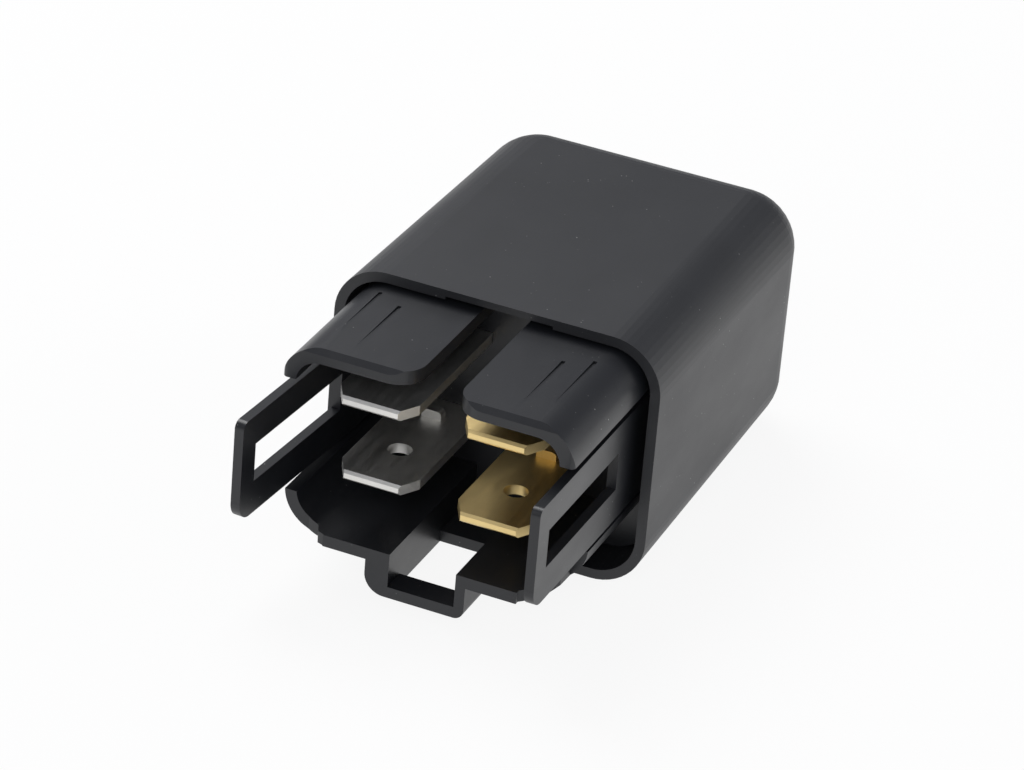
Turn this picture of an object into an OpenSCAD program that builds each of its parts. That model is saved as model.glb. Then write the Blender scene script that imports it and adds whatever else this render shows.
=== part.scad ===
// Four-blade automotive relay: moulded can, base with connector shroud, and the
// hinged-armature mechanism inside. It lies on one broad side: X across the
// broad side, Y along the plug axis with the blades pointing to -Y, Z up.
// Heights are counted from the resting face, depths from the can's open rim.

/* [Cover] */
// Width across the broad side
cover_w = 26.2; // [26:0.1:32]
// Height between the two broad sides
cover_h = 20.4; // [20.2:0.1:26]
// Length from the open rim to the closed end
cover_l = 31.2; // [30.6:0.1:40]
// Wall thickness
cover_wall = 0.8; // [0.5:0.05:1]
// Radius of the long corners at the rim
cover_corner_r = 4.1; // [3.4:0.1:5]
// Radius of the edges round the closed end
cover_end_r = 4.5; // [3.5:0.1:5]
// Draft of the walls in degrees
cover_draft = 0.45; // [0:0.05:0.6]
// Width of the shallow relief inside the rim
relief_w = 8.6; // [4:0.2:12]
// Depth of that relief into the wall
relief_d = 0.25; // [0.1:0.05:0.35]
// Length of that relief from the rim
relief_l = 2.6; // [1:0.1:3.2]

/* [Base plate] */
// Clearance between the base plate and the cover
plate_gap = 0.15; // [0.1:0.05:0.3]
// Depth of the plate's front face inside the rim
plate_depth = 3.5; // [3:0.1:5]
// Thickness of the plate
plate_t = 3; // [2:0.1:4]
// Clearance round each terminal in its slot
slot_gap = 0.05; // [0.03:0.01:0.1]
// Height of the posts that carry the yoke
post_h = 2.1; // [1.9:0.1:2.6]
// Side of the posts across the base
post_w = 2.2; // [1.6:0.1:2.4]
// Side of the posts along the terminals' rows
post_d = 3.2; // [2:0.1:3.6]

/* [Shroud lips] */
// Clearance between the lips and the cover's side walls
lip_side_gap = 0.5; // [0.3:0.1:1.3]
// Clearance between the lips and the cover's roof
lip_gap = 0.3; // [0.2:0.05:0.6]
// Thickness of the lips
lip_t = 1.1; // [0.8:0.1:1.4]
// Height of the skirts that the lips turn down at the sides
lip_skirt = 2.9; // [2:0.1:3.4]
// Reach of the left lip in front of the rim
lip_left_reach = 11.3; // [8:0.1:13]
// Reach of the right lip in front of the rim
lip_right_reach = 12.7; // [8:0.1:14]
// Inner edge of the left lip, left of the middle
lip_left_edge = 1.5; // [1:0.1:3]
// Inner edge of the right lip, right of the middle
lip_right_edge = 2.2; // [1:0.1:3]
// Radius of the lips' inner front corners in plan
lip_front_r = 2.2; // [1:0.1:3]
// Bevel along the lips' top front edge
lip_bevel = 0.4; // [0.2:0.1:0.6]
// Depth of the two fine grooves on each lip at their back end
groove_d = 0.16; // [0.05:0.01:0.3]
// Width of the grooves
groove_w = 0.3; // [0.2:0.05:0.5]
// Length over which a groove fades out towards the front
groove_l = 7; // [4:0.5:8]

/* [Shroud arms] */
// Clearance between the arms and the cover's side walls
arm_side_gap = 0.9; // [0.6:0.1:1.6]
// Thickness of the arms
arm_t = 0.75; // [0.6:0.05:1.2]
// Reach of the arms in front of the rim
arm_reach = 17.3; // [14:0.1:20]
// Distance from the middle's height down to the arms' lower edge
arm_drop = 3.2; // [2.6:0.1:3.4]
// Height of the arms themselves
arm_h = 8.25; // [7.6:0.05:8.6]
// Height of the window's lower edge above the arm's
window_up = 2.7; // [2:0.1:3]
// Height of the window
window_h = 3.1; // [2.6:0.1:3.6]
// Distance from an arm's tip to its window
window_back = 1.9; // [1.4:0.1:2.4]
// Length of the window
window_l = 12.6; // [9:0.1:13.5]
// Radius of the arm's upper front corner
arm_top_r = 0.6; // [0.3:0.1:1]
// Radius of the arm's lower front corner
arm_low_r = 1.5; // [0.3:0.1:2]
// Angle by which the left arm is bent outward
arm_bend = 3.7; // [0:0.1:4.5]

/* [Shroud tray] */
// Height of the tray's underside
tray_z = 3.7; // [3.3:0.1:4]
// Thickness of the tray
tray_t = 0.95; // [0.8:0.05:1.2]
// Reach of the tray in front of the rim
tray_reach = 11.9; // [10:0.1:13]
// Outer radius of the tray's long corners
tray_corner_r = 3.2; // [2.4:0.1:3.2]
// Slit between the tray's sides and the arms
arm_slit = 0.3; // [0.2:0.05:0.5]
// Length broken off the tray's left front corner
break_l = 1.4; // [0.5:0.1:2]
// Width broken off the tray's left front corner
break_w = 3; // [1:0.1:4]
// Length cut off the tray's right front corner
notch_l = 4.7; // [2:0.1:6]
// Width cut off the tray's right front corner
notch_w = 3.4; // [1.4:0.1:4]

/* [Latch channel] */
// Width over the channel
channel_w = 8; // [7:0.1:9]
// Clearance between the channel's floor and the cover
channel_gap = 0.2; // [0.1:0.05:0.4]
// Thickness of the channel's floor
channel_floor = 0.9; // [0.7:0.1:1.2]
// Thickness of the channel's left wall
channel_left_t = 1.9; // [0.8:0.1:2.2]
// Thickness of the channel's right wall
channel_right_t = 0.8; // [0.6:0.1:1.4]
// Radius under the channel's left corner
channel_left_r = 1.6; // [0.6:0.1:2]
// Radius under the channel's right corner
channel_right_r = 0.8; // [0.4:0.1:1.2]
// Length of floor in front of the latch window
latch_front = 2.2; // [1.4:0.1:3]
// Length of the latch window in the floor
latch_l = 7.1; // [5:0.1:8]

/* [Blades] */
// Width of each blade
blade_w = 6.3; // [5.8:0.1:6.4]
// Thickness of each blade
blade_t = 0.8; // [0.6:0.1:0.9]
// Distance of each column of blades from the middle
column_x = 4.9; // [4.6:0.1:5.3]
// Height of the upper row's middle plane above the middle
row_up = 5.3; // [5.1:0.1:5.5]
// Distance between the two rows
row_pitch = 6.75; // [6.4:0.05:6.9]
// Reach of the upper left blade in front of the rim
reach_87 = 10.9; // [8:0.1:13]
// Reach of the upper right blade
reach_85 = 10.6; // [8:0.1:13]
// Reach of the lower left blade
reach_30 = 9.8; // [8:0.1:13]
// Reach of the lower right blade
reach_86 = 10.8; // [8:0.1:13]
// Width of the blunt end of a tip
tip_w = 4.4; // [3.4:0.1:5]
// Length of the tip's corner cuts
tip_l = 1.7; // [1:0.1:2.4]
// Bevel of the tip's front edges
tip_bevel = 0.2; // [0.1:0.05:0.3]
// Diameter of the detent hole
detent_d = 1.85; // [1.4:0.05:2.2]
// Distance from the tip to the detent hole
detent_back = 4.9; // [3.5:0.1:5.5]
// Distance from the detent hole to the stop boss
boss_back = 5.4; // [4:0.1:6]
// Width of the stop boss
boss_w = 1.6; // [1:0.1:2.4]
// Height of the stop boss
boss_h = 0.7; // [0.4:0.1:0.9]

/* [Magnet] */
// Thickness of the yoke
yoke_t = 1.6; // [1.2:0.1:1.8]
// Width of the yoke and armature
yoke_w = 9.2; // [8:0.1:9.2]
// Room for the spring's loop between the yoke's long leg and the cover
loop_room = 1.7; // [1.6:0.05:1.9]
// Gap between the coil and the yoke's long leg
coil_gap = 2; // [1.6:0.1:2.2]
// Diameter of the core over that of the coil
core_ratio = 0.39; // [0.3:0.01:0.44]
// Height of the core's riveted end
peen_h = 0.5; // [0.3:0.05:0.8]
// Distance by which the core's riveted end stands out all round
peen_over = 0.4; // [0.2:0.05:0.6]
// Clearance between the lower left terminal and the core's axis side
core_room = 1; // [0.7:0.1:1.4]
// Distance from the yoke's end to its rivet
foot_rivet_in = 1.5; // [1.3:0.1:2]
// Diameter of the pole face
pole_d = 8.5; // [7:0.1:9]
// Thickness of the pole face
pole_t = 0.8; // [0.6:0.1:1]
// Gap left between the pole and the closed armature
pole_gap = 0.1; // [0.06:0.02:0.2]
// Running clearance between the armature's hinge edge and the yoke
hinge_gap = 0.03; // [0.02:0.01:0.05]
// Wall of the bobbin's tube
bobbin_wall = 0.85; // [0.6:0.05:1]
// Thickness of the bobbin's flanges
flange_t = 0.8; // [0.6:0.1:1]
// Distance by which the flanges stand out past the winding
flange_over = 0.45; // [0.3:0.05:1]
// Room left between the mechanism and the cover's closed end
end_room = 1.9; // [0.6:0.1:4]
// Thickness of the armature
armature_t = 1.4; // [1:0.1:1.6]
// Length of the armature past the coil's axis
armature_over = 5.2; // [4.4:0.1:5.6]
// Bevel of the armature's heel
heel_cut = 0.5; // [0.2:0.1:0.8]
// Angle by which the armature stands open at rest
open_angle = 3.5; // [3:0.1:4]

/* [Contacts and spring] */
// Thickness of the leaf spring
leaf_t = 0.25; // [0.15:0.05:0.3]
// Width of the leaf over the armature
leaf_w = 8; // [6:0.1:8.4]
// Width of the leaf at the contact
leaf_tip_w = 5.4; // [4:0.1:6]
// Reach of the leaf past the contact's middle
leaf_past = 1.9; // [1.6:0.1:2]
// Inner radius of the leaf's hinge loop
loop_r = 1.1; // [1.05:0.05:1.15]
// Width of the contact shelf
shelf_w = 4.2; // [3.8:0.1:4.4]
// Reach of the contact shelf past the contact
shelf_over = 0.6; // [0.3:0.1:1]
// Gap between the contact shelf and the cover
shelf_room = 1.5; // [1.3:0.05:1.8]
// Gap between the contact shelf and the coil
shelf_gap = 0.8; // [0.5:0.05:1]
// Diameter of the contact heads
contact_d = 3.2; // [2.4:0.1:3.4]
// Thickness of the moving contact's head
moving_t = 0.8; // [0.5:0.1:0.9]
// Thickness of the fixed contact's head
fixed_t = 0.9; // [0.6:0.1:1]
// Gap left between the contacts when the armature is closed
contact_gap = 0.06; // [0.04:0.02:0.12]
// Thickness of the stop bracket
stop_t = 0.6; // [0.4:0.05:0.8]
// Depth to which the stop bracket stands in the base plate
stop_root = 1.45; // [1:0.05:1.8]
// Reach of the stop bracket past the moving contact's middle
stop_over = 1.7; // [1.4:0.1:2]
// Distance from the yoke's edge down to the stop bracket
stop_down = 1.3; // [1.1:0.1:1.6]
// Clearance between the stop bracket and the moving contact at rest
stop_gap = 0.04; // [0.03:0.01:0.1]
// Distance from the hinge down to the upper rivet of the spring's leg
leg_rivet_down = 6.4; // [5:0.1:7]
// Distance between the two rivets of the spring's leg
leg_rivet_pitch = 4; // [3:0.1:4.4]
// Length of the spring's leg past its lower rivet
leg_end = 2; // [1.2:0.1:2.4]
// Distance between the two rivets of the armature
leaf_rivet_pitch = 5.2; // [3.4:0.1:5.6]
// Distance from the hinge to the armature's rivets
leaf_rivet_in = 3.6; // [2.6:0.1:5]
// Distance by which the loop's centre lies inside the yoke's face
loop_in = 0.2; // [0.15:0.05:0.3]
// Height of the rivets' heads
rivet_h = 0.4; // [0.3:0.05:0.45]
// Diameter of the rivets' shanks
rivet_d = 1.4; // [1:0.1:1.6]

/* [Coil connections] */
// Width of the soldering tags
tag_w = 1.4; // [1.2:0.1:1.5]
// Distance of the tags' middle from the yoke's long leg
tag_in = 1.3; // [1:0.05:1.5]
// Distance between the yoke's lower edge and the lower tag
tag_drop = 2.2; // [2:0.1:2.4]
// Width of the strip that joins the lower right blade to its tag
strip_w = 3.75; // [2.5:0.05:5]
// Length of the jog behind the plate, where a blade turns to its strip
jog_l = 1.1; // [0.8:0.1:1.3]
// Length of wire wound round a tag
wrap_l = 1.2; // [0.8:0.1:1.6]
// Length of bare tag past the wire
tag_free = 1.1; // [0.9:0.1:1.4]
// Distance from the bobbin's flange to the wire on a tag
wrap_up = 0.3; // [0.1:0.1:0.6]
// Diameter of the coil wire
wire_d = 0.3; // [0.2:0.05:0.4]
// Diameter of the resistor
resistor_d = 2.3; // [1.8:0.1:2.4]
// Length of straight lead at each end of the resistor
lead_l = 0.8; // [0.6:0.1:1.4]
// Distance from the hinge to the lead that crosses from tag to tag
lead_down = 3.1; // [2.4:0.1:3.6]
// Diameter of the resistor's leads
lead_d = 0.5; // [0.4:0.05:0.6]

/* [Hidden] */

$fn = 48;
EPS = 0.01;                         // overlap that makes a cut clean
BLACK = [0.10, 0.10, 0.11];
TINNED = [0.72, 0.72, 0.70];
BRASS = [0.80, 0.65, 0.32];
STEEL = [0.60, 0.61, 0.63];
COPPER = [0.72, 0.36, 0.18];

// the origin lies below the middle of the whole length, at the resting face
origin_y = (arm_reach - cover_l) / 2;

// cover
roof_z = cover_h - cover_wall;
mid_z = cover_h / 2;
inner_half = cover_w / 2 - cover_wall;
inner_r = cover_corner_r - cover_wall;
end_shrink = (cover_l - cover_end_r) * tan(cover_draft);
draft_at_plate = (plate_depth + plate_t) * tan(cover_draft);

// base plate
plate_back = plate_depth + plate_t;
plate_half_w = inner_half - draft_at_plate - plate_gap;
plate_z0 = cover_wall + draft_at_plate + plate_gap;
plate_z1 = roof_z - draft_at_plate - plate_gap;

// shroud
lips_half = inner_half - lip_side_gap;
lip_corner_r = inner_r - lip_gap;
lip_top = roof_z - lip_gap;
arms_half = inner_half - arm_side_gap;
arm_z = mid_z - arm_drop;
tray_side_z = arm_z - arm_slit;
channel_z = cover_wall + channel_gap;
channel_x0 = -channel_w / 2 + channel_left_t;
channel_x1 = channel_w / 2 - channel_right_t;

// grooves in the lips: distance in from the lips' side, distance from the rim
grooves = [[-1, 2.8, 1], [-1, 4.9, 2.2], [1, 5.1, 3.4], [1, 3.1, 2.2]];

// terminals
upper_z = mid_z + row_up;
lower_z = upper_z - row_pitch;
hole_play = 0.03;                   // clearance round each rivet's shank
head_d = 1.6 * rivet_d;

// mechanism across the can: yoke at the right, contacts at the left, coil between
hinge_x = inner_half - loop_room;
yoke_x = hinge_x - yoke_t;
shelf_x0 = shelf_room - inner_half;
shelf_x1 = shelf_x0 + shelf_w;
contact_x = (shelf_x0 + shelf_x1) / 2;
flange_d = yoke_x - coil_gap - shelf_gap - shelf_x1;
coil_x = yoke_x - coil_gap - flange_d / 2;
core_d = core_ratio * flange_d;
winding_d = flange_d - 2 * flange_over;
foot_x = -column_x - blade_w / 2 - 0.15;
armature_x = coil_x - armature_over;

// mechanism along the can: built up from the plate and down from the closed end
foot_y = plate_back + post_h;
spool_y = foot_y + yoke_t;
back_t = armature_t + leaf_t + rivet_h;
stop_rise = (hinge_x - contact_x + rivet_d) * sin(open_angle) + back_t * cos(open_angle) + stop_gap;
stop_y = cover_l - cover_wall - end_room - stop_t;
hinge_y = stop_y - stop_rise;
pole_y = hinge_y - pole_gap - pole_t;
winding_l = pole_y - spool_y - 2 * flange_t;
leaf_y = hinge_y + armature_t;
loop_x = hinge_x - loop_in;
loop_y = leaf_y - loop_r;
shelf_y = leaf_y - moving_t - contact_gap - fixed_t;
leg_rivet_ys = [hinge_y - leg_rivet_down - leg_rivet_pitch, hinge_y - leg_rivet_down];
leaf_rivet_x = hinge_x - leaf_rivet_in;
leaf_rivet_zs = [mid_z - leaf_rivet_pitch / 2, mid_z + leaf_rivet_pitch / 2];

// mechanism's heights
yoke_z0 = mid_z - yoke_w / 2;
yoke_z1 = mid_z + yoke_w / 2;
shelf_z = mid_z - contact_d / 2 - shelf_over;
foot_rivet_x = foot_x + foot_rivet_in;
foot_rivet_z = (yoke_z0 + lower_z) / 2;
stop_z = yoke_z0 - stop_down;
stop_x = foot_x - 0.15;

// soldering tags for the coil: one above and one below the yoke
tag_x = yoke_x - tag_in;
low_tag_z = yoke_z0 - tag_drop - blade_t;
wrap_y = spool_y + flange_t + wrap_up;
joint_y = wrap_y + wrap_l + 0.1;
tag_top = wrap_y + wrap_l + tag_free;
resistor_z = low_tag_z + blade_t + lead_d / 2;
lead_z = upper_z - blade_t / 2 - lead_d / 2;
lead_over_y = hinge_y - lead_down;
resistor_y = tag_top + lead_l;
resistor_l = lead_over_y - lead_l - resistor_y;

// ---- helpers ----------------------------------------------------------------

// puts what is modelled from the rim at its place about the origin
module from_rim() translate([0, origin_y, 0]) children();

// extrudes an X-Z outline between two depths
module along_y(y0, y1) translate([0, y1, 0]) rotate([90, 0, 0]) linear_extrude(y1 - y0) children();

// extrudes a Y-Z outline between two places across the width
module along_x(x0, x1) translate([x0, 0, 0]) rotate([90, 0, 90]) linear_extrude(x1 - x0) children();

// extrudes an X-Y outline between two heights
module along_z(z0, z1) translate([0, 0, z0]) linear_extrude(z1 - z0) children();

module box2(x0, x1, y0, y1) translate([x0, y0]) square([x1 - x0, y1 - y0]);

module round_box2(x0, x1, y0, y1, r) {
    box2(x0 + r, x1 - r, y0, y1);
    box2(x0, x1, y0 + r, y1 - r);
    for (x = [x0 + r, x1 - r], y = [y0 + r, y1 - r]) translate([x, y]) circle(r);
}

// what rounding takes off the corner p of an outline that lies towards d
module corner2(p, d, r) difference() {
    translate(p + d * (r - 1) / 2) square(r + 1, center = true);
    translate(p + d * r) circle(r);
}

// a round bar from a to b
module bar(a, b, d) {
    v = b - a;
    translate(a) rotate([0, acos(v[2] / norm(v)), atan2(v[1], v[0])]) cylinder(h = norm(v), d = d);
}

module bent_bar(points, d) {
    for (i = [0 : len(points) - 2]) bar(points[i], points[i + 1], d);
    for (i = [1 : len(points) - 2]) translate(points[i]) sphere(d = d);
}

// turns what belongs to the closed armature to the open rest position
module opened() translate([hinge_x, hinge_y, 0]) rotate([0, 0, -open_angle])
    translate([-hinge_x, -hinge_y, 0]) children();

// ---- cover ------------------------------------------------------------------

// the can's outer form, or its hollow when every wall is moved in by inset
module can(inset, y0, r_rim, r_end) {
    end_w = cover_w / 2 - end_shrink - inset;
    end_z = end_shrink + inset;
    hull() {
        along_y(y0, y0 + EPS) round_box2(-cover_w / 2 + inset, cover_w / 2 - inset,
                                         inset, cover_h - inset, r_rim);
        for (sx = [-1, 1], z = [end_z + r_end, cover_h - end_z - r_end])
            translate([sx * (end_w - r_end), cover_l - inset - r_end, z]) sphere(r_end);
    }
}

module cover() color(BLACK) from_rim() difference() {
    can(0, 0, cover_corner_r, cover_end_r);
    can(cover_wall, -EPS, inner_r, cover_end_r - cover_wall);
    along_y(-1, relief_l) box2(-relief_w / 2, relief_w / 2, roof_z - 1, roof_z + relief_d);
}

// ---- base with shroud -------------------------------------------------------

module lip(side, edge, reach) {
    half = lips_half;
    intersection() {
        along_y(-reach, plate_depth + EPS) difference() {
            round_box2(-half, half, lip_top - 4 * lip_corner_r, lip_top, lip_corner_r);
            round_box2(-half + lip_t, half - lip_t, lip_top - 5 * lip_corner_r,
                       lip_top - lip_t, lip_corner_r - lip_t);
            box2(-half - 1, half + 1, 0, lip_top - lip_skirt);
        }
        along_z(0, cover_h) mirror([side < 0 ? 1 : 0, 0]) difference() {
            box2(edge, half, -reach, plate_depth + 1);
            corner2([edge, -reach], [1, 1], lip_front_r);
            corner2([half, -reach], [-1, 1], lip_bevel);
        }
        along_x(-half, half) polygon([
            [-reach, 0], [-reach, lip_top - lip_bevel], [-reach + lip_bevel, lip_top],
            [plate_back, lip_top], [plate_back, 0]]);
    }
}

// a groove that is deepest near the rim and fades out towards the front
module groove(x, y) translate([x - groove_w / 2, y, lip_top - groove_d])
    rotate([-atan(groove_d / groove_l), 0, 0]) mirror([0, 1, 0]) cube([groove_w, groove_l, lip_t]);

module arm_outline() difference() {
    y0 = -arm_reach;
    z1 = arm_z + arm_h;
    box2(y0, plate_depth + EPS, arm_z, z1);
    box2(y0 + window_back, y0 + window_back + window_l, arm_z + window_up, arm_z + window_up + window_h);
    corner2([y0, arm_z], [1, 1], arm_low_r);
    corner2([y0, z1], [1, -1], arm_top_r);
}

module right_arm() along_x(arms_half - arm_t, arms_half) arm_outline();

// the left arm is bent outward in front of the rim
module left_arm() mirror([1, 0, 0]) {
    half = arms_half;
    bend_l = 2 * arm_t * sin(arm_bend) + EPS;
    intersection() {
        right_arm();
        cube(cover_w);
    }
    translate([half, 0, 0]) rotate([0, 0, arm_bend]) translate([-half, 0, 0]) intersection() {
        right_arm();
        translate([0, bend_l - cover_w, 0]) cube(cover_w);
    }
}

module tray_section() difference() {
    half = arms_half;
    round_box2(-half, half, tray_z, tray_z + 4 * tray_corner_r, tray_corner_r);
    round_box2(-half + tray_t, half - tray_t, tray_z + tray_t, tray_z + 5 * tray_corner_r,
               tray_corner_r - tray_t);
    box2(-half - 1, half + 1, tray_side_z, cover_h);
}

module channel_section() difference() {
    half = channel_w / 2;
    box2(-half, half, channel_z, tray_z + tray_t);
    corner2([-half, channel_z], [1, 1], channel_left_r);
    corner2([half, channel_z], [-1, 1], channel_right_r);
}

// the piece missing from the tray's left front corner, with its ragged edge
module broken_corner() {
    w = break_w;
    l = break_l;
    translate([-arms_half, -tray_reach, 0]) along_z(tray_z - tray_t, arm_z) polygon([
        [-w, -l], [1.4 * w, -l], [1.3 * w, 0.07 * l], [1.13 * w, 0.21 * l],
        [w, 0.8 * l], [0.7 * w, l], [-w, l]]);
}

// the cut that clears the tray's right front corner
module notched_corner() {
    w = notch_w;
    l = notch_l;
    translate([arms_half - w, -tray_reach, 0]) along_z(tray_z - tray_t, arm_z) polygon([
        [0, -l], [0, 0.08 * l], [0.44 * w, 0.4 * l], [0.62 * w, 0.66 * l],
        [0.65 * w, l], [2 * w, l], [2 * w, -l]]);
}

module tray() difference() {
    along_y(-tray_reach, plate_depth + EPS) {
        tray_section();
        channel_section();
    }
    along_y(-tray_reach - 1, plate_depth) box2(channel_x0, channel_x1, channel_z + channel_floor, arm_z);
    translate([channel_x0, -tray_reach + latch_front, 0]) cube([channel_x1 - channel_x0, latch_l, arm_z]);
    broken_corner();
    notched_corner();
}

// slot for a flat terminal whose section is w by t, centred at x and z
module slot(x, z, w, t) along_y(plate_depth - 1, plate_back + 1)
    box2(x - w / 2 - slot_gap, x + w / 2 + slot_gap, z - t / 2 - slot_gap, z + t / 2 + slot_gap);

module yoke_posts() for (x = [-column_x, column_x])
    along_y(plate_back - EPS, foot_y)
        translate([x, (lower_z + upper_z) / 2]) square([post_w, post_d], center = true);

module base() color(BLACK) from_rim() difference() {
    union() {
        along_y(plate_depth, plate_back)
            round_box2(-plate_half_w, plate_half_w, plate_z0, plate_z1, inner_r - plate_gap);
        lip(-1, lip_left_edge, lip_left_reach);
        lip(1, lip_right_edge, lip_right_reach);
        left_arm();
        right_arm();
        tray();
        yoke_posts();
    }
    for (g = grooves) groove(g[0] * (lips_half - g[1]), -g[2]);
    for (x = [-column_x, column_x], z = [lower_z, upper_z]) slot(x, z, blade_w, blade_t);
    along_y(plate_back - stop_root - slot_gap, plate_back + 1)
        box2(shelf_x0 - slot_gap, stop_x + slot_gap, stop_z - slot_gap, stop_z + stop_t + slot_gap);
}

// ---- terminals --------------------------------------------------------------

module blade_outline(reach, back) difference() {
    polygon([[-blade_w / 2, -reach + tip_l], [-tip_w / 2, -reach], [tip_w / 2, -reach],
             [blade_w / 2, -reach + tip_l], [blade_w / 2, back], [-blade_w / 2, back]]);
    translate([0, -reach + detent_back]) circle(d = detent_d);
}

// a blade centred on the Y axis, from its bevelled tip to the depth back
module blade(reach, back) {
    t = blade_t / 2;
    intersection() {
        along_z(-t, t) blade_outline(reach, back);
        along_x(-blade_w, blade_w) polygon([
            [-reach, -t + tip_bevel], [-reach, t - tip_bevel], [-reach + tip_bevel, t],
            [back + 1, t], [back + 1, -t], [-reach + tip_bevel, -t]]);
    }
    along_y(-reach + detent_back + boss_back, -reach + detent_back + boss_back + boss_w / 2)
        difference() {
            box2(-boss_w / 2, boss_w / 2, t - EPS, t + boss_h);
            for (s = [-1, 1]) corner2([s * boss_w / 2, t + boss_h], [-s, -1], boss_h / 2);
        }
}

// lower left: bent over behind the plate and riveted under the yoke's foot
module terminal_30() color(TINNED) from_rim() difference() {
    x1 = coil_x - core_d / 2 - core_room;
    union() {
        translate([-column_x, 0, lower_z]) blade(reach_30, foot_y);
        along_y(foot_y - blade_t, foot_y) box2(-column_x - blade_w / 2, x1, yoke_z0, lower_z);
    }
    along_y(plate_back, foot_y + 1) translate([foot_rivet_x, foot_rivet_z])
        circle(d = rivet_d + 2 * hole_play);
    translate([x1, plate_back + slot_gap, 0]) cube(cover_l);
}

// upper left: jogs outward, rises past the coil and carries the fixed contact
module terminal_87() color(TINNED) from_rim() {
    t = blade_t / 2;
    jog_y = plate_back + jog_l;
    translate([-column_x, 0, upper_z]) blade(reach_87, jog_y);
    along_z(upper_z - t, upper_z + t) {
        box2(shelf_x0, -column_x, plate_back + slot_gap, jog_y);
        box2(shelf_x0, shelf_x1, plate_back + slot_gap, shelf_y - blade_t + EPS);
    }
    difference() {
        along_x(shelf_x0, shelf_x1) difference() {
            box2(shelf_y - blade_t, shelf_y, shelf_z, upper_z + t);
            corner2([shelf_y, upper_z + t], [-1, -1], blade_t - EPS);
        }
        along_y(shelf_y - 2 * blade_t, shelf_y + blade_t) translate([contact_x, mid_z])
            circle(d = contact_d / 2 + 2 * hole_play);
    }
}

// upper right: a blade with a soldering tag
module terminal_85() color(BRASS) from_rim() {
    t = blade_t / 2;
    x1 = tag_x + tag_w / 2;
    jog_y = plate_back + jog_l;
    translate([column_x, 0, upper_z]) blade(reach_85, jog_y);
    along_z(upper_z - t, upper_z + t) {
        box2(column_x, x1, plate_back, jog_y);
        box2(x1 - tag_w, x1, plate_back, tag_top);
    }
}

// lower right: bent down along the plate, then up to its soldering tag
module terminal_86() color(BRASS) from_rim() {
    x0 = column_x + blade_w / 2 - strip_w;
    x1 = tag_x + tag_w / 2;
    translate([column_x, 0, lower_z]) blade(reach_86, plate_back + blade_t);
    along_y(plate_back, plate_back + blade_t) box2(x0, x0 + strip_w, low_tag_z, lower_z + blade_t / 2);
    along_z(low_tag_z, low_tag_z + blade_t) {
        box2(x0, x1, plate_back, plate_back + blade_t);
        box2(x1 - tag_w, x1, plate_back, tag_top);
    }
}

// ---- magnet -----------------------------------------------------------------

module yoke_profile() difference() {
    union() {
        box2(foot_x, hinge_x, foot_y, foot_y + yoke_t);
        box2(yoke_x, hinge_x, foot_y, hinge_y - hinge_gap);
    }
    corner2([hinge_x, foot_y], [-1, 1], yoke_t);
}

module yoke() color(STEEL) from_rim() difference() {
    along_z(yoke_z0, yoke_z1) yoke_profile();
    along_y(foot_y - 1, spool_y + 1) translate([coil_x, mid_z]) circle(d = core_d + 2 * hole_play);
    along_y(foot_y - 1, spool_y + 1) translate([foot_rivet_x, foot_rivet_z])
        circle(d = rivet_d + 2 * hole_play);
    for (y = leg_rivet_ys) along_x(yoke_x - 1, hinge_x + 1) translate([y, mid_z])
        circle(d = rivet_d + 2 * hole_play);
}

// a rod through the yoke's foot with a pole face at one end and a riveted head
module core() color(STEEL) from_rim() translate([coil_x, 0, mid_z]) rotate([-90, 0, 0]) {
    translate([0, 0, foot_y - peen_h]) cylinder(h = peen_h, d = core_d + 2 * peen_over);
    translate([0, 0, foot_y - EPS]) cylinder(h = pole_y - foot_y + 2 * EPS, d = core_d);
    translate([0, 0, pole_y]) cylinder(h = pole_t, d = pole_d);
}

module bobbin() color([0.82, 0.80, 0.72]) from_rim() translate([coil_x, spool_y, mid_z])
    rotate([-90, 0, 0]) rotate_extrude() difference() {
        union() {
            box2(core_d / 2 + hole_play, core_d / 2 + bobbin_wall, 0, winding_l + 2 * flange_t);
            for (y = [0, winding_l + flange_t]) box2(core_d / 2 + hole_play, flange_d / 2, y, y + flange_t);
        }
    }

module coil_winding() color(COPPER) from_rim() translate([coil_x, spool_y + flange_t, mid_z])
    rotate([-90, 0, 0]) rotate_extrude() box2(core_d / 2 + bobbin_wall, winding_d / 2, 0, winding_l);

// a wire end that leaves the winding and is wound round the tag at height tag_z
module coil_lead(tag_z) {
    middle = [coil_x, wrap_y + wrap_l / 2, mid_z];
    edge = [tag_x - tag_w / 2 - wire_d / 2, wrap_y + wrap_l / 2, tag_z];
    bar(middle + (edge - middle) / norm(edge - middle) * winding_d / 2, edge, wire_d);
    along_y(wrap_y, wrap_y + wrap_l) difference() {
        box2(tag_x - tag_w / 2 - wire_d, tag_x + tag_w / 2 + wire_d,
             tag_z - blade_t / 2 - wire_d, tag_z + blade_t / 2 + wire_d);
        box2(tag_x - tag_w / 2, tag_x + tag_w / 2, tag_z - blade_t / 2, tag_z + blade_t / 2);
    }
}

module coil_lead_start() color(COPPER) from_rim() coil_lead(low_tag_z + blade_t / 2);

module coil_lead_end() color(COPPER) from_rim() coil_lead(upper_z);

// ---- armature, spring and contacts -------------------------------------------

module armature() color(STEEL) from_rim() opened() difference() {
    heel_x = hinge_x - heel_cut;
    along_z(yoke_z0, yoke_z1) difference() {
        box2(armature_x, hinge_x, hinge_y, leaf_y);
        polygon([[heel_x, leaf_y + 1], [heel_x, leaf_y], [hinge_x, leaf_y - heel_cut],
                 [hinge_x + 1, leaf_y - heel_cut], [hinge_x + 1, leaf_y + 1]]);
    }
    for (z = leaf_rivet_zs) along_y(hinge_y - 1, leaf_y + 1) translate([leaf_rivet_x, z])
        circle(d = rivet_d + 2 * hole_play);
}

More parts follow.
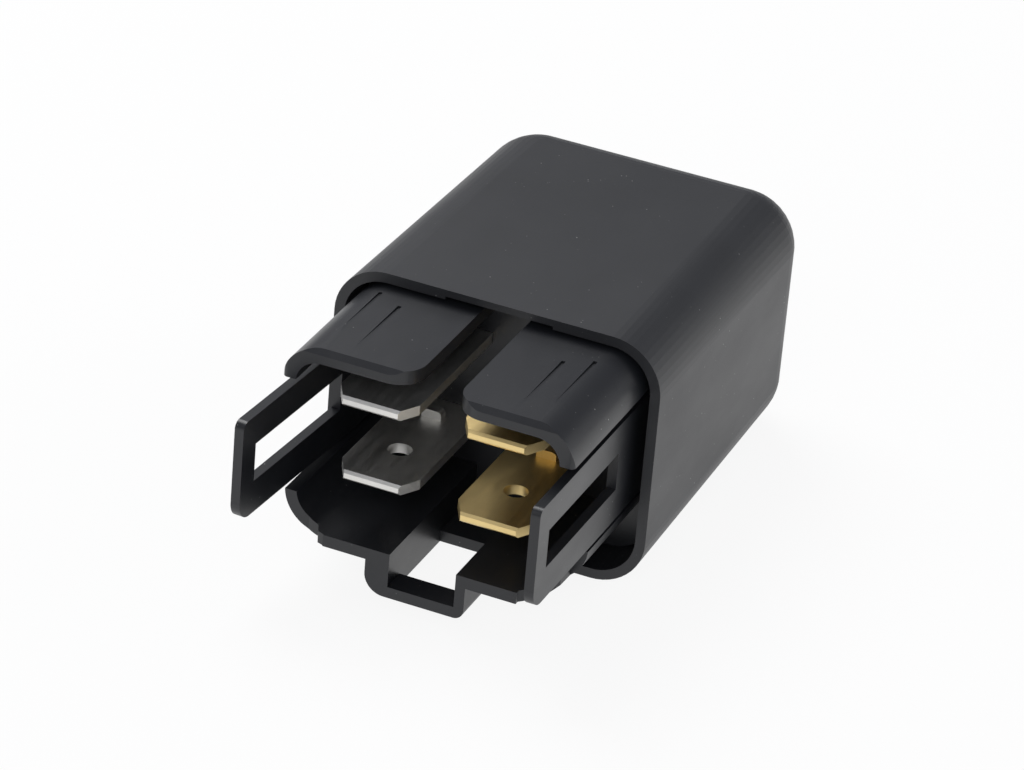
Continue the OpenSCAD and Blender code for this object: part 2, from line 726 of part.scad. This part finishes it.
// the loop joins the leg on the yoke to the leaf on the armature
module leaf_profile() {
    difference() {
        translate([loop_x, loop_y]) circle(loop_r + leaf_t);
        translate([loop_x, loop_y]) circle(loop_r);
        box2(loop_x - 2 * loop_r, loop_x, loop_y - 2 * loop_r, loop_y + 2 * loop_r);
        box2(loop_x - EPS, hinge_x + 0.4 * leaf_t, loop_y - 2 * loop_r, loop_y);
    }
    box2(contact_x - leaf_past, loop_x, leaf_y, leaf_y + leaf_t);
}

// what narrows the leaf past the armature on the side s, seen from the back
module leaf_taper(s) {
    wide = [armature_x, mid_z + s * leaf_w / 2];
    narrow = [contact_x + contact_d / 2 + shelf_over, mid_z + s * leaf_tip_w / 2];
    past = narrow + 1.5 * (wide - narrow);
    end_x = contact_x - 2 * leaf_past;
    polygon([past, narrow, [end_x, narrow[1]], [end_x, past[1]]]);
}

module return_spring() color([0.74, 0.60, 0.36]) from_rim() difference() {
    hole = rivet_d + 2 * hole_play;
    leg_top = loop_y - sqrt(pow(loop_r + leaf_t / 2, 2) - pow(hinge_x + leaf_t / 2 - loop_x, 2));
    along_z(mid_z - leaf_w / 2, mid_z + leaf_w / 2) {
        box2(hinge_x, hinge_x + leaf_t, leg_rivet_ys[0] - leg_end, leg_top);
        opened() leaf_profile();
    }
    for (y = leg_rivet_ys) along_x(hinge_x - 1, hinge_x + 1) translate([y, mid_z]) circle(d = hole);
    opened() along_y(leaf_y - 1, leaf_y + 1) {
        for (z = leaf_rivet_zs) translate([leaf_rivet_x, z]) circle(d = hole);
        translate([contact_x, mid_z]) circle(d = hole);
        for (s = [-1, 1]) leaf_taper(s);
    }
}

// depths are measured from the leaf: the head lies under it, the back above
module moving_contact() color(TINNED) from_rim() opened() translate([contact_x, leaf_y, mid_z])
    rotate([-90, 0, 0]) {
        translate([0, 0, -moving_t]) cylinder(h = moving_t, d = contact_d);
        translate([0, 0, -EPS]) cylinder(h = leaf_t + 2 * EPS, d = rivet_d);
        translate([0, 0, leaf_t]) cylinder(h = rivet_h, d = 2 * rivet_d);
    }

module fixed_contact() color(TINNED) from_rim() translate([contact_x, shelf_y, mid_z])
    rotate([-90, 0, 0]) {
        cylinder(h = fixed_t, d = contact_d);
        translate([0, 0, -blade_t - EPS]) cylinder(h = blade_t + 2 * EPS, d = contact_d / 2);
        translate([0, 0, -blade_t - rivet_h]) cylinder(h = rivet_h, d = 0.75 * contact_d);
    }

module spring_rivets() color(STEEL) from_rim() for (y = leg_rivet_ys)
    translate([0, y, mid_z]) rotate([0, 90, 0]) {
        translate([0, 0, yoke_x - rivet_h]) cylinder(h = rivet_h, d = head_d);
        translate([0, 0, yoke_x - EPS]) cylinder(h = yoke_t + leaf_t + 2 * EPS, d = rivet_d);
        translate([0, 0, hinge_x + leaf_t]) cylinder(h = rivet_h, d = head_d);
    }

module armature_rivets() color(STEEL) from_rim() opened() for (z = leaf_rivet_zs)
    translate([leaf_rivet_x, 0, z]) rotate([-90, 0, 0]) {
        translate([0, 0, hinge_y]) cylinder(h = armature_t + leaf_t + EPS, d = rivet_d);
        translate([0, 0, leaf_y + leaf_t]) cylinder(h = rivet_h, d = head_d);
    }

module yoke_rivet() color(STEEL) from_rim() translate([foot_rivet_x, 0, foot_rivet_z])
    rotate([-90, 0, 0]) {
        translate([0, 0, foot_y - blade_t - rivet_h]) cylinder(h = rivet_h, d = head_d);
        translate([0, 0, foot_y - blade_t - EPS])
            cylinder(h = blade_t + yoke_t + EPS, d = rivet_d);
    }

// a strip that stands in the base plate and is bent over the moving contact
module stop_bracket() color(STEEL) from_rim() {
    along_z(stop_z, stop_z + stop_t) box2(shelf_x0, stop_x, plate_back - stop_root, stop_y + EPS);
    along_x(shelf_x0, contact_x + stop_over) difference() {
        box2(stop_y, stop_y + stop_t, stop_z, mid_z + stop_over);
        corner2([stop_y + stop_t, stop_z], [-1, 1], stop_t - EPS);
    }
}

// ---- suppression resistor ---------------------------------------------------

module resistor_body() color([0.78, 0.66, 0.45]) from_rim() translate([tag_x, resistor_y, resistor_z])
    rotate([-90, 0, 0]) rotate_extrude() difference() {
        box2(0, resistor_d / 2, 0, resistor_l);
        for (p = [[0, 1], [resistor_l, -1]]) corner2([resistor_d / 2, p[0]], [-1, p[1]], 0.4);
    }

module resistor_leads() color(TINNED) from_rim() {
    bar([tag_x, joint_y, resistor_z], [tag_x, resistor_y, resistor_z], lead_d);
    bent_bar([[tag_x, resistor_y + resistor_l, resistor_z], [tag_x, lead_over_y, resistor_z],
              [tag_x, lead_over_y, lead_z], [tag_x, joint_y, lead_z]], lead_d);
}

cover();
base();
terminal_30();
terminal_87();
terminal_85();
terminal_86();
yoke();
core();
bobbin();
coil_winding();
coil_lead_start();
coil_lead_end();
armature();
return_spring();
moving_contact();
fixed_contact();
spring_rivets();
armature_rivets();
yoke_rivet();
stop_bracket();
resistor_body();
resistor_leads();
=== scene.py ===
"""Looks of a four-blade automotive relay on its broad side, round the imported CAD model."""

import bpy
from mathutils import Matrix, Vector

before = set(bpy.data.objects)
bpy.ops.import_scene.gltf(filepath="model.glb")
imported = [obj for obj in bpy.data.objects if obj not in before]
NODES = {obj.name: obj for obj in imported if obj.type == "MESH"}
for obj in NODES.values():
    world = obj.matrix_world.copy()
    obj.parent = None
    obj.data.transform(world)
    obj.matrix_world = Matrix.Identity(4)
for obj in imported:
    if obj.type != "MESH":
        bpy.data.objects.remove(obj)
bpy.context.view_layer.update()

# camera: its place, the direction it looks back along, its up and its focal length in pixels
EYE = (0.11969, -0.30428, 0.19221)
BACK = (0.32273, -0.81202, 0.48627)
UP = (-0.25991, 0.41798, 0.87048)
FOCAL_PX = 5000
IMAGE_W = 1024
SENSOR_W = 36
CLIP = (0.01, 10)

# surfaces: bump depths in metres
DUST_COLOR = (0.35, 0.35, 0.34)
GRAIN_DEPTH = 0.00002
LINE_STRENGTH = 0.12
PIT_STRENGTH = 0.3
PIT_DEPTH = 0.00001

# floor and world
FLOOR_SIZE = 3
FLOOR_TONE = 0.86
FLOOR_ROUGHNESS = 0.9
FLOOR_GLOW = 0.9                    # share of plain white that the camera and gloss see
WORLD_COLOR = (0.9, 0.92, 1.0, 1)
WORLD_LIGHT = 0.27
WORLD_SEEN = 1.0

# lamps: name, place, size, power
AIM = (0, 0, 0.01)
LAMPS = [
    ("key", (-0.25, 0.15, 0.45), (0.35, 0.35), 2.1),
    ("fill", (0.1, -0.5, 0.35), (0.4, 0.3), 1.1),
    ("rim", (0.5, 0.3, 0.25), (0.3, 0.3), 0.8),
]


# ---- node helpers -----------------------------------------------------------

class Shader:
    """A node material with short names for the nodes used here."""

    def __init__(self, name):
        self.mat = bpy.data.materials.new(name)
        self.mat.use_nodes = True
        self.tree = self.mat.node_tree
        self.tree.nodes.clear()
        self.out = self.add("ShaderNodeOutputMaterial")
        self.bsdf = self.add("ShaderNodeBsdfPrincipled")
        self.link(self.bsdf.outputs[0], self.out.inputs[0])
        self.co = self.add("ShaderNodeTexCoord").outputs["Object"]

    def add(self, kind, **props):
        node = self.tree.nodes.new(kind)
        for k, v in props.items():
            setattr(node, k, v)
        return node

    def link(self, a, b):
        self.tree.links.new(a, b)

    def feed(self, socket, value):
        if hasattr(value, "is_output"):
            self.link(value, socket)
        else:
            socket.default_value = value

    def stretch(self, scale):
        m = self.add("ShaderNodeMapping")
        self.link(self.co, m.inputs["Vector"])
        m.inputs["Scale"].default_value = scale
        return m.outputs[0]

    def noise(self, scale, detail, rough, vector=None):
        n = self.add("ShaderNodeTexNoise")
        self.link(vector or self.co, n.inputs["Vector"])
        n.inputs["Scale"].default_value = scale
        n.inputs["Detail"].default_value = detail
        n.inputs["Roughness"].default_value = rough
        return n.outputs["Fac"]

    def cells(self, scale):
        n = self.add("ShaderNodeTexVoronoi", feature="F1")
        self.link(self.co, n.inputs["Vector"])
        n.inputs["Scale"].default_value = scale
        return n.outputs["Distance"]

    def ramp(self, fac, stops):
        n = self.add("ShaderNodeValToRGB")
        self.link(fac, n.inputs[0])
        e = n.color_ramp.elements
        while len(e) < len(stops):
            e.new(0.5)
        for el, (pos, v) in zip(e, stops):
            el.position = pos
            el.color = (v, v, v, 1)
        return n.outputs[0]

    def remap(self, value, lo, hi, to_lo, to_hi):
        n = self.add("ShaderNodeMapRange")
        self.link(value, n.inputs["Value"])
        for k, v in (("From Min", lo), ("From Max", hi), ("To Min", to_lo), ("To Max", to_hi)):
            n.inputs[k].default_value = v
        return n.outputs[0]

    def math(self, op, a, b=0.0):
        n = self.add("ShaderNodeMath", operation=op)
        self.feed(n.inputs[0], a)
        self.feed(n.inputs[1], b)
        return n.outputs[0]

    def mix(self, fac, a, b):
        n = self.add("ShaderNodeMix", data_type="RGBA")
        self.feed(n.inputs["Factor"], fac)
        for socket, v in ((n.inputs["A"], a), (n.inputs["B"], b)):
            self.feed(socket, v if hasattr(v, "is_output") else (*v, 1))
        return n.outputs["Result"]

    def bump(self, height, strength, distance, normal=None):
        n = self.add("ShaderNodeBump")
        self.link(height, n.inputs["Height"])
        n.inputs["Strength"].default_value = strength
        n.inputs["Distance"].default_value = distance
        if normal:
            self.link(normal, n.inputs["Normal"])
        return n.outputs[0]

    def set(self, name, value):
        is_color = isinstance(value, tuple) and len(value) == 3
        self.feed(self.bsdf.inputs[name], (*value, 1) if is_color else value)


def black_plastic(name, color, rough, grain, gloss_noise):
    """Moulded black plastic: fine grain, uneven gloss and a few specks of dust."""
    s = Shader(name)
    tone = s.noise(180, 4, 0.6)
    base = s.mix(tone, tuple(c * 0.82 for c in color), tuple(c * 1.2 for c in color))
    specks = s.ramp(s.cells(1500), [(0.0, 1), (0.05, 1), (0.09, 0), (1, 0)])
    where = s.ramp(s.noise(260, 3, 0.6), [(0.0, 0), (0.5, 0), (0.66, 1), (1, 1)])
    mask = s.math("MULTIPLY", specks, where)
    s.set("Base Color", s.mix(mask, base, DUST_COLOR))
    smear = s.noise(90, 5, 0.65, s.stretch((1.0, 0.35, 1.0)))
    s.set("Roughness", s.remap(smear, 0.3, 0.7, rough - gloss_noise, rough + gloss_noise))
    s.set("Specular IOR Level", 0.5)
    fine = s.noise(9000, 2, 0.5)
    s.set("Normal", s.bump(fine, grain, GRAIN_DEPTH))
    return s.mat


def plain(name, color, rough, metallic=0.0):
    """One colour, slightly blotched, for the pieces inside the can."""
    s = Shader(name)
    tone = s.noise(400, 4, 0.6)
    light = tuple(min(1, c * 1.1) for c in color)
    s.set("Base Color", s.mix(tone, tuple(c * 0.88 for c in color), light))
    s.set("Roughness", s.remap(tone, 0.3, 0.7, rough - 0.05, rough + 0.05))
    s.bsdf.inputs["Metallic"].default_value = metallic
    return s.mat


def blade_metal(name, color, rough):
    """Rolled blade metal: lines along the blade, blotches and small pits."""
    s = Shader(name)
    lines = s.noise(900, 4, 0.7, s.stretch((6.0, 0.25, 6.0)))
    blotch = s.noise(350, 4, 0.6)
    s.set("Base Color", s.mix(blotch, tuple(c * 0.75 for c in color), color))
    s.set("Roughness", s.remap(lines, 0.3, 0.7, rough - 0.07, rough + 0.09))
    s.bsdf.inputs["Metallic"].default_value = 1.0
    pits = s.bump(s.noise(5000, 3, 0.6), PIT_STRENGTH, PIT_DEPTH)
    s.set("Normal", s.bump(lines, LINE_STRENGTH, GRAIN_DEPTH, pits))
    return s.mat


cover_mat = black_plastic("cover_plastic", (0.020, 0.021, 0.024), 0.45, 0.25, 0.05)
base_mat = black_plastic("base_plastic", (0.013, 0.014, 0.017), 0.36, 0.2, 0.08)
tin_mat = blade_metal("tinned_terminal", (0.88, 0.87, 0.84), 0.44)
brass_mat = blade_metal("brass_terminal", (0.93, 0.72, 0.34), 0.42)
MATS = {
    "cover": cover_mat, "base": base_mat,
    "terminal_30": tin_mat, "terminal_87": tin_mat,
    "terminal_85": brass_mat, "terminal_86": brass_mat,
    "bobbin": plain("bobbin_plastic", (0.72, 0.69, 0.60), 0.5),
}
copper = plain("copper_wire", (0.62, 0.26, 0.12), 0.3, 1.0)
iron = plain("magnet_iron", (0.52, 0.52, 0.53), 0.4, 1.0)
steel = plain("rivet_steel", (0.48, 0.48, 0.49), 0.35, 1.0)
silver = plain("contact_silver", (0.80, 0.79, 0.76), 0.3, 1.0)
for n in ("coil_winding", "coil_lead_start", "coil_lead_end"):
    MATS[n] = copper
for n in ("yoke", "core", "armature"):
    MATS[n] = iron
for n in ("spring_rivets", "armature_rivets", "yoke_rivet", "stop_bracket"):
    MATS[n] = steel
for n in ("moving_contact", "fixed_contact"):
    MATS[n] = silver
MATS["return_spring"] = plain("spring_bronze", (0.66, 0.44, 0.24), 0.35, 1.0)
MATS["resistor_body"] = plain("resistor_lacquer", (0.62, 0.50, 0.30), 0.35)
MATS["resistor_leads"] = plain("lead_wire", (0.60, 0.60, 0.58), 0.35, 1.0)
for n, mat in MATS.items():
    NODES[n].data.materials.clear()
    NODES[n].data.materials.append(mat)


# ---- camera, floor and light ------------------------------------------------

def look(eye, back, up):
    z, y = Vector(back).normalized(), Vector(up)
    x = y.cross(z).normalized()
    y = z.cross(x)
    m = Matrix((x, y, z)).transposed().to_4x4()
    m.translation = eye
    return m


cam_data = bpy.data.cameras.new("camera")
cam = bpy.data.objects.new("camera", cam_data)
bpy.context.scene.collection.objects.link(cam)
bpy.context.scene.camera = cam
cam_data.sensor_width = SENSOR_W
cam_data.lens = SENSOR_W * FOCAL_PX / IMAGE_W
cam_data.clip_start, cam_data.clip_end = CLIP
cam.matrix_world = look(EYE, BACK, UP)

bpy.ops.mesh.primitive_plane_add(size=FLOOR_SIZE, location=(0, 0, 0))
floor = bpy.context.object
floor.name = "floor"
s = Shader("floor")
s.set("Base Color", (FLOOR_TONE, FLOOR_TONE, FLOOR_TONE))
s.set("Roughness", FLOOR_ROUGHNESS)
emit = s.add("ShaderNodeEmission")
emit.inputs["Color"].default_value = (1, 1, 1, 1)
light_path = s.add("ShaderNodeLightPath")
seen = s.math("MAXIMUM", light_path.outputs["Is Camera Ray"],
              s.math("MAXIMUM", light_path.outputs["Is Glossy Ray"],
                     light_path.outputs["Is Transmission Ray"]))
mixed = s.add("ShaderNodeMixShader")
s.link(s.math("MULTIPLY", seen, FLOOR_GLOW), mixed.inputs[0])
s.link(s.bsdf.outputs[0], mixed.inputs[1])
s.link(emit.outputs[0], mixed.inputs[2])
s.link(mixed.outputs[0], s.out.inputs[0])
floor.data.materials.append(s.mat)


def area(name, at, size, power):
    data = bpy.data.lights.new(name, "AREA")
    data.shape = "RECTANGLE"
    data.size, data.size_y = size
    data.energy = power
    ob = bpy.data.objects.new(name, data)
    bpy.context.scene.collection.objects.link(ob)
    ob.location = at
    ob.rotation_euler = (Vector(AIM) - Vector(at)).to_track_quat("-Z", "Y").to_euler()


for lamp in LAMPS:
    area(*lamp)

world = bpy.data.worlds.new("world")
bpy.context.scene.world = world
world.use_nodes = True
wt = world.node_tree
bg = wt.nodes["Background"]
bg.inputs[0].default_value = WORLD_COLOR
lp = wt.nodes.new("ShaderNodeLightPath")
mr = wt.nodes.new("ShaderNodeMapRange")
wt.links.new(lp.outputs["Is Camera Ray"], mr.inputs["Value"])
mr.inputs["To Min"].default_value = WORLD_LIGHT
mr.inputs["To Max"].default_value = WORLD_SEEN
wt.links.new(mr.outputs[0], bg.inputs["Strength"])

bpy.context.scene.view_settings.view_transform = "Standard"
